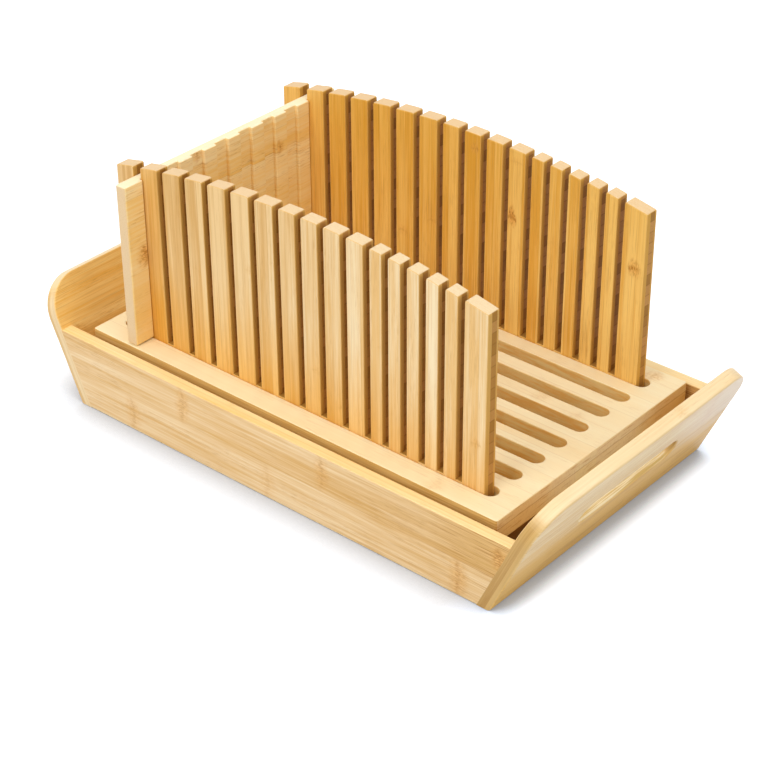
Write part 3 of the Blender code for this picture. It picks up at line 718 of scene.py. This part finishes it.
dress("left_board_foot", foot_finish("left foot bamboo", 21.0))
dress("right_board_foot", foot_finish("right foot bamboo", 24.0))
zinc = zinc_finish()
for end in ("left", "right"):
    for row in ("front", "middle", "back"):
        dress(end + "_foot_" + row + "_screw", zinc)


# Guide combs.
# Two bamboo boards of three layers, the outer ones upright and the core lengthways, sawn from the
# top into 17 teeth by 16 kerfs. The spacing of the kerfs gives thick, medium and thin slices.

COMB_LEFT = -144.75 * MM
COMB_THICKNESS = 9.5 * MM
COMB_EASE = 0.7 * MM
KERF_WIDTHS = np.array([6.0] + [4.5] * 15 + [0.0]) * MM
TOOTH_WIDTHS = np.array([14.4] + [14.2] * 6 + [12.4] * 4 + [8.9] * 5 + [16.2]) * MM
TOOTH_CORNER = 1.4 * MM
KERF_FLOOR = 16.1 * MM             # above the comb's lower edge
STOP_END_TOP = 128.7 * MM          # the stop end's top, above the lower edge
FREE_END_TOP = 130.4 * MM
ARCH_RISE = 13.2 * MM
FRONT_COMB_Y = -76.85 * MM
BACK_COMB_Y = 70.15 * MM


def comb_outline():
    """A comb from its lower corner at the stop end, run anticlockwise.

    The top is a straight line from end to end with an arc of a circle on it. Each tooth's two top
    corners lie on it, rounded by a quarter circle, and the kerfs between the teeth end level."""
    lefts = np.concatenate([[0], np.cumsum(TOOTH_WIDTHS + KERF_WIDTHS)[:-1]])
    rights = lefts + TOOTH_WIDTHS
    length = rights[-1]
    half = length / 2
    radius = (half ** 2 + ARCH_RISE ** 2) / (2 * ARCH_RISE)

    def top(a):
        straight = STOP_END_TOP + (FREE_END_TOP - STOP_END_TOP) * a / length
        return straight + ARCH_RISE - radius + math.sqrt(radius ** 2 - (a - half) ** 2)

    parts = [np.array([(0.0, 0.0), (length, 0.0)])]
    for left, right in zip(lefts[::-1], rights[::-1]):
        if right < length:
            parts.append(np.array([(right, KERF_FLOOR)]))
        parts.append(arc((right - TOOTH_CORNER, top(right) - TOOTH_CORNER), TOOTH_CORNER, 0, 90, 6))
        parts.append(arc((left + TOOTH_CORNER, top(left) - TOOTH_CORNER), TOOTH_CORNER, 90, 180, 6))
        if left > 0:
            parts.append(np.array([(left, KERF_FLOOR)]))
    return np.concatenate(parts)


COMB_STRIP = 7.0
COMB_COLOURS = ((0.95, 0.77, 0.48), (0.84, 0.52, 0.19))
# darker and more golden towards the stop end: painted shade and bounce light
COMB_STOP_END_SHADE = ((0.82, 0.51, 0.18), (0.62, 0.33, 0.08))
# more golden low down, towards the foot: painted bounce light and shade from the board
COMB_FOOT_BOUNCE = ((0.89, 0.49, 0.11), (0.73, 0.34, 0.04))
# the back comb: the same wood, deeper and more orange as painted shade and bounce light between the combs
BACK_COMB_SHADED_COLOURS = ((0.97, 0.64, 0.19), (0.80, 0.41, 0.06))
BACK_COMB_STOP_END_SHADE = ((0.88, 0.50, 0.10), (0.72, 0.35, 0.03))
TOP_COLOURS = ((0.85, 0.70, 0.46), (0.78, 0.55, 0.29))
# the back comb's tops, deeper as painted shade
BACK_COMB_SHADED_TOPS = ((0.84, 0.63, 0.37), (0.76, 0.50, 0.24))
# the tops towards the stop end, darker as painted shade
TOP_STOP_END_SHADE = (0.76, 0.51, 0.26)
EDGE_TAN = (0.72, 0.42, 0.12)
# the floors of the kerfs, brown as painted shade
KERF_SHADE_BROWN = (0.42, 0.20, 0.03)
# the outer layers' long grain on the kerf walls, darker than the faces as painted shade
PLY_SHADE_BROWN = (0.60, 0.33, 0.07)
FRONT_PLY = 3.2                    # where the core starts, from the front face, and where it ends
BACK_PLY = 7.6
CORE_COURSE = 7.0
CORE_COLOURS = ((0.58, 0.30, 0.09), (0.34, 0.16, 0.025))
CORE_LINE = (0.20, 0.08, 0.01)
FRONT_COMB_KNUCKLES = ((83, 132, 3.5, 3.5, 0.55), (65, 34, 3.5, 3.5, 0.3), (118, 65, 3.5, 4, 0.25),
                       (83, 14, 3, 3.5, 0.3), (131, -36, 3.5, 4, 0.25))
BACK_COMB_KNUCKLES = ((130, 131.6, 6, 4.5, 1.1), (133.5, 42, 7, 3.5, 1.8), (170, 12.9, 4, 3.5, 0.6),
                      (95, -43.8, 4, 4, 0.4), (110, -20, 4, 4, 0.4), (170.7, 44, 3, 5, 0.25))


def comb_finish(name, front_y, seed, colours, stop_end, foot, tops, crown, line_strength, knuckles):
    """Upright strips on both faces, darker and more golden towards the stop end and the foot as painted
    shade and bounce light, and of another tone at the crown; the tops too are darker towards the stop end as
    painted shade. The walls of the kerfs show the three layers: long grain outside, darkened as painted
    shade, and in the core the brown end grain of its strips, one over the other like bricks. The kerf floors
    are brown as painted shade."""
    finish = Finish(name)
    x, z = finish.along(X_WAY), finish.along(Z_WAY)
    through = finish.along(Y_WAY, front_y / MM)
    # painted shade and bounce light towards the stop end, mixed with a tone at the crown
    stop_end_shade = finish.fade(x, 90, -70)
    stop_end_shade_and_crown = stop_end_shade * 0.65 + finish.fade(z, 105, 175) * crown
    second_tooth = finish.fade(x, -108, -112) * finish.fade(x, -128, -126)
    # painted bounce light and shade: deeper gold low down, weaker towards the free end, and on the second
    # tooth
    painted_foot_bounce = finish.fade(z + (finish.cloud(x / 6, z / 60, seed) - 0.5) * 60, 125, 48)
    painted_foot_bounce = painted_foot_bounce * (0.85 - finish.fade(x, 0, 140) * 0.35) + second_tooth * 0.45
    pale, gold = (finish.blend(painted_foot_bounce, finish.blend(stop_end_shade_and_crown, even, ending), low)
                  for even, ending, low in zip(colours, stop_end, foot))
    colour, height, fibre = bamboo(finish, z, x, COMB_STRIP, seed, pale, gold, uneven=0.8, figure=1.3,
                                   streaks=1.9, pores=0.3, knuckles=knuckles, knuckle_every=260,
                                   knuckle_strength=0.12)
    lines = finish.fade(finish.cloud(z / 45, x / 0.55, seed + 9, roughness=0.6), 0.54, 0.7)
    colour = finish.blend(lines * line_strength, colour, PORE_BROWN)

    course = finish.math("FLOOR", z / CORE_COURSE)
    level = z / CORE_COURSE - course
    speckle = finish.fade(finish.cloud(x / 3, z / 0.7, through / 0.55, detail=3), 0.4, 0.66)
    core = finish.blend(finish.chance(course, seed + 1)[0], *CORE_COLOURS)
    core = finish.blend(speckle * 0.5, core, PORE_BROWN)
    core = finish.blend(finish.fade(abs(level - 0.5), 0.44, 0.5) * 0.6, core, CORE_LINE)
    # painted shade: the outer layers' walls in the kerfs are the face colour, darkened
    shaded_ply = finish.blend(finish.cloud(z / 40, through / 0.5, seed) * 0.6 + 0.45, gold, PLY_SHADE_BROWN)
    in_core = finish.fade(abs(through - (FRONT_PLY + BACK_PLY) / 2), (BACK_PLY - FRONT_PLY) / 2 + 0.1,
                          (BACK_PLY - FRONT_PLY) / 2 - 0.1)
    wall = finish.blend(in_core, shaded_ply, core)
    colour = finish.blend(finish.faces(X_WAY, 0.55, 0.85), colour, wall)
    top = finish.blend(finish.cloud(x / 12, through / 0.8, seed + 2), *tops)
    bristle = finish.fade(finish.cloud(x / 0.6, through / 1.6, seed + 3), 0.5, 0.66)
    top = finish.blend(bristle * 0.3, top, EDGE_TAN)
    # painted shade: the tops turn darker towards the stop end
    top = finish.blend(stop_end_shade * 0.7, top, TOP_STOP_END_SHADE)
    # painted shade: up-facing surfaces low in the comb, the kerf floors, turn brown
    top = finish.blend(finish.fade(z, 100, 60), top, KERF_SHADE_BROWN)
    colour = finish.blend(finish.faces(Z_WAY, 0.55, 0.85), colour, top)
    eased = finish.faces(Y_WAY, 0.97, 0.85) * finish.faces(Y_WAY, 0.3, 0.6)
    colour = finish.blend(eased * 0.6, colour, EDGE_TAN)
    return finish.done(colour, 0.40 + fibre * 0.15, height, sheen=0.35 - finish.facing(X_WAY) * 0.3)


# the back comb's colours are the front comb's in painted shade and bounce light
COMBS = (("front", FRONT_COMB_Y, 31.0, COMB_COLOURS, COMB_STOP_END_SHADE, COMB_FOOT_BOUNCE, TOP_COLOURS, 0.12, 0.14,
          FRONT_COMB_KNUCKLES),
         ("back", BACK_COMB_Y, 37.0, BACK_COMB_SHADED_COLOURS, BACK_COMB_STOP_END_SHADE, BACK_COMB_SHADED_COLOURS, BACK_COMB_SHADED_TOPS, 0.4, 0.45,
          BACK_COMB_KNUCKLES))
outline = comb_outline()
for word, front_y, *looks in COMBS:
    name = word + "_comb_piece"
    mesh = board_mesh(name, [outline], COMB_THICKNESS, COMB_EASE, (X_WAY, Z_WAY, Y_WAY),
                      (COMB_LEFT, front_y, BOARD_BOTTOM))
    material = comb_finish(word + " comb bamboo", front_y, *looks)
    add_piece(name, mesh, material, word + "_comb", "pale_bamboo", word + "_guide_comb")


# End stop.
# An upright plate of bamboo that drops into the first kerf of both combs. Eight grooves in its face
# leave a thin web where a comb can stand, so that the combs can be set closer for a smaller loaf.

STOP_BACK_X = -130.15 * MM
STOP_THICKNESS = 8.2 * MM
STOP_WEB = 5.6 * MM
STOP_FOOT_Z = 53.2 * MM
STOP_HEIGHT = 108.6 * MM
STOP_MIDDLE_Y = 1.4 * MM
STOP_HALF = 93.55 * MM
STOP_CORNER = 1.6 * MM
STOP_EASE = 0.8 * MM
LIP_RADIUS = 0.9 * MM
GROOVE_HALF = 5.05 * MM


def stop_outline():
    """The stop from above, run anticlockwise: a flat back, and in its face the grooves with eased lips."""
    half, radius, lip = STOP_HALF, STOP_CORNER, LIP_RADIUS
    parts = [arc((radius, half - radius), radius, 90, 180, 5),
             arc((radius, radius - half), radius, 180, 270, 5),
             arc((STOP_THICKNESS - radius, radius - half), radius, 270, 360, 5)]
    for number in range(SLOT_COUNT):
        middle = (number - (SLOT_COUNT - 1) / 2) * SLOT_PITCH
        near, far = middle - GROOVE_HALF, middle + GROOVE_HALF
        parts.append(arc((STOP_THICKNESS - lip, near - lip), lip, 0, 90, 4))
        parts.append(np.array([(STOP_WEB, near), (STOP_WEB, far)]))
        parts.append(arc((STOP_THICKNESS - lip, far + lip), lip, 270, 360, 4))
    parts.append(arc((STOP_THICKNESS - radius, half - radius), radius, 0, 90, 5))
    return np.concatenate(parts)


STOP_STRIP = 17.0
STOP_PALE = (0.98, 0.79, 0.43)
STOP_GOLD = (0.91, 0.58, 0.16)
STOP_END_COLOURS = ((0.80, 0.57, 0.31), (0.66, 0.42, 0.20))
STOP_TOP_COLOURS = ((0.97, 0.87, 0.62), (0.94, 0.76, 0.45))
STOP_KNUCKLES = ((-29, 160, 4, 6, 0.6), (41.5, 139.5, 4, 5, 0.8), (-79, 112, 7, 8, 1.2))


def stop_finish():
    """Strips across the plate, from front to back, deeper towards the foot; paler end grain on its two
    narrow ends."""
    finish = Finish("stop bamboo")
    x, y, z = finish.distances()
    colour, height, fibre = bamboo(finish, y, z, STOP_STRIP, 44.0, STOP_PALE, STOP_GOLD, uneven=0.4,
                                   streaks=1.2, pores=0.5, knuckles=STOP_KNUCKLES, knuckle_strength=0.15)
    colour = finish.blend(finish.fade(z, 135, 75) * 0.55, colour, STOP_GOLD)
    dots = finish.fade(finish.cloud(x / 0.7, z / 0.9, 4.0), 0.45, 0.65)
    end_grain = finish.blend(dots * 0.25, *STOP_END_COLOURS)
    ends = finish.fade(abs(y - STOP_MIDDLE_Y / MM), STOP_HALF / MM - 1.6, STOP_HALF / MM - 0.6)
    colour = finish.blend(ends * finish.faces(Y_WAY, 0.5, 0.85), colour, end_grain)
    top = finish.blend(finish.cloud(y / 30, x / 0.7, 5.0), *STOP_TOP_COLOURS)
    colour = finish.blend(finish.faces(Z_WAY, 0.5, 0.85), colour, top)
    return finish.done(colour, 0.40 + fibre * 0.15, height)


mesh = board_mesh("stop", [stop_outline()], STOP_HEIGHT, STOP_EASE, (X_WAY, Y_WAY, Z_WAY),
                  (STOP_BACK_X, STOP_MIDDLE_Y, STOP_FOOT_Z), steps=3)
add_piece("stop_plate", mesh, stop_finish(), "stop", "golden_bamboo", "end_stop")


# Floor, lamps and camera.
# A white floor that keeps the object's soft shadow, with a painted contact shadow drawn over it close to the
# object, three large soft lamps (in front, at the right and overhead) and an even white surround. The camera
# stands as it did for the picture.

FLOOR_HALF = 4.0
FLOOR_TOP = -0.3 * MM              # just below the object's flat underside
RIGHTWARD = (0.14, 0.17)           # the x where the painted shadow starts and ends turning to its right look, shorter and bluer
SHADOW_REACH = (0.045, 0.0145)     # how far the painted contact shadow reaches, left and right of there
GROUND_SEEN = ((0.52, 0.545, 0.59), (0.57, 0.67, 0.84))      # left and right of there; the bluer right one paints the shadow there blue
GROUND_LIGHT = (0.66, 0.71, 0.78)  # the ground's colour as it lights the object from below
OPENNESS = (0.45, 0.96)            # openness of the deepest painted shadow, and of a place out of it
GLOW = (0.05, 0.75)                # the ground's own light in these two places
GLOW_COLOUR = (0.985, 0.99, 1)
SURROUND_LIGHT = 0.58              # a share of full white
LAMP_AIM = (0, 0, 0.08)            # the middle of the object
LAMPS = (("front softbox", (-0.20, -1.60, 1.50), 1.2, 0.8, 18),      # name, place, width, height, power
         ("right softbox", (1.80, -0.30, 1.00), 1.0, 1.0, 7),
         ("overhead softbox", (-0.10, 0.1, 2.2), 1.6, 1.6, 15))


def seen(graph):
    """1 where the camera looks, straight on, by reflection or through glass, and 0 for other light."""
    ray = graph.node("ShaderNodeLightPath").outputs
    opaque = graph.math("MAXIMUM", ray["Is Camera Ray"], ray["Is Glossy Ray"])
    return graph.math("MAXIMUM", opaque, ray["Is Transmission Ray"])


def floor_material():
    """A pale matt ground that glows for the camera and in reflections, so that it shows white.

    The glow gives way close to the object, by its ambient occlusion: a painted contact shadow over the real
    one, reaching less far out at its right. What the camera sees is darker and bluer than what lights the
    object from below, bluer still at the right, where that tints the shadow."""
    material = bpy.data.materials.new("studio floor")
    material.use_nodes = True
    graph = Graph(material.node_tree)
    graph.tree.nodes.clear()
    shown = seen(graph)
    place = graph.node("ShaderNodeTexCoord")
    x = graph.node("ShaderNodeSeparateXYZ", place.outputs["Object"]).outputs["X"]
    ground = graph.blend(graph.ramp(x, *RIGHTWARD, 0, 1), *GROUND_SEEN)
    matt = graph.node("ShaderNodeBsdfDiffuse", graph.blend(shown, GROUND_LIGHT, ground))

    # painted contact shadow: the glow dims where the ambient occlusion finds the object close
    painted_shadow_openness = graph.node("ShaderNodeAmbientOcclusion", samples=8)
    graph.feed(painted_shadow_openness.inputs["Distance"], graph.ramp(x, *RIGHTWARD, *SHADOW_REACH))
    level = shown * graph.ramp(painted_shadow_openness.outputs["AO"], *OPENNESS, *GLOW)
    glow = graph.node("ShaderNodeEmission", GLOW_COLOUR, level)
    both = graph.node("ShaderNodeAddShader", matt.outputs[0], glow.outputs[0])
    graph.node("ShaderNodeOutputMaterial", both.outputs[0])
    return material


floor_mesh = bpy.data.meshes.new("floor")
floor_mesh.from_pydata([(a * FLOOR_HALF, b * FLOOR_HALF, FLOOR_TOP)
                        for a, b in ((-1, -1), (1, -1), (1, 1), (-1, 1))], [], [(0, 1, 2, 3)])
floor_mesh.materials.append(floor_material())
floor = add_object("floor", floor_mesh)

for name, place, width, height, power in LAMPS:
    lamp = bpy.data.lights.new(name, "AREA")
    lamp.shape = "RECTANGLE"
    lamp.size, lamp.size_y = width, height
    lamp.energy = power
    lamp_object = add_object(name, lamp)
    lamp_object.location = place
    lamp_object.rotation_euler = (Vector(LAMP_AIM) - Vector(place)).to_track_quat("-Z", "Y").to_euler()


def set_world():
    """An even white surround: full white where it is seen or mirrored, weaker as light."""
    world = bpy.data.worlds.new("studio")
    bpy.context.scene.world = world
    world.use_nodes = True
    graph = Graph(world.node_tree)
    surround = world.node_tree.nodes["Background"]
    graph.feed(surround.inputs["Color"], (1, 1, 1))
    graph.feed(surround.inputs["Strength"], graph.ramp(seen(graph), 0, 1, SURROUND_LIGHT, 1))


set_world()

YAW = math.radians(40.54)
PITCH = math.radians(31.88)
ROLL = math.radians(-0.27)
CAMERA_PLACE = (0.71281, -0.82906, 0.72299)
FOCAL_LENGTH = 97.95
SENSOR_WIDTH = 36
SHIFT_X = -0.0061
SHIFT_Y = -0.0221

ahead = np.array([-math.sin(YAW) * math.cos(PITCH), math.cos(YAW) * math.cos(PITCH), -math.sin(PITCH)])
level_right = np.array([math.cos(YAW), math.sin(YAW), 0.0])
level_up = np.cross(level_right, ahead)
right = math.cos(ROLL) * level_right + math.sin(ROLL) * level_up
up = math.cos(ROLL) * level_up - math.sin(ROLL) * level_right
view = bpy.data.cameras.new("camera")
view.lens = FOCAL_LENGTH
view.sensor_width = SENSOR_WIDTH
view.shift_x = SHIFT_X
view.shift_y = SHIFT_Y
camera = add_object("camera", view)
turn = Matrix([(right[i], up[i], -ahead[i]) for i in range(3)])
camera.matrix_world = Matrix.Translation(CAMERA_PLACE) @ turn.to_4x4()
bpy.context.scene.camera = camera
bpy.context.scene.view_settings.view_transform = "Standard"
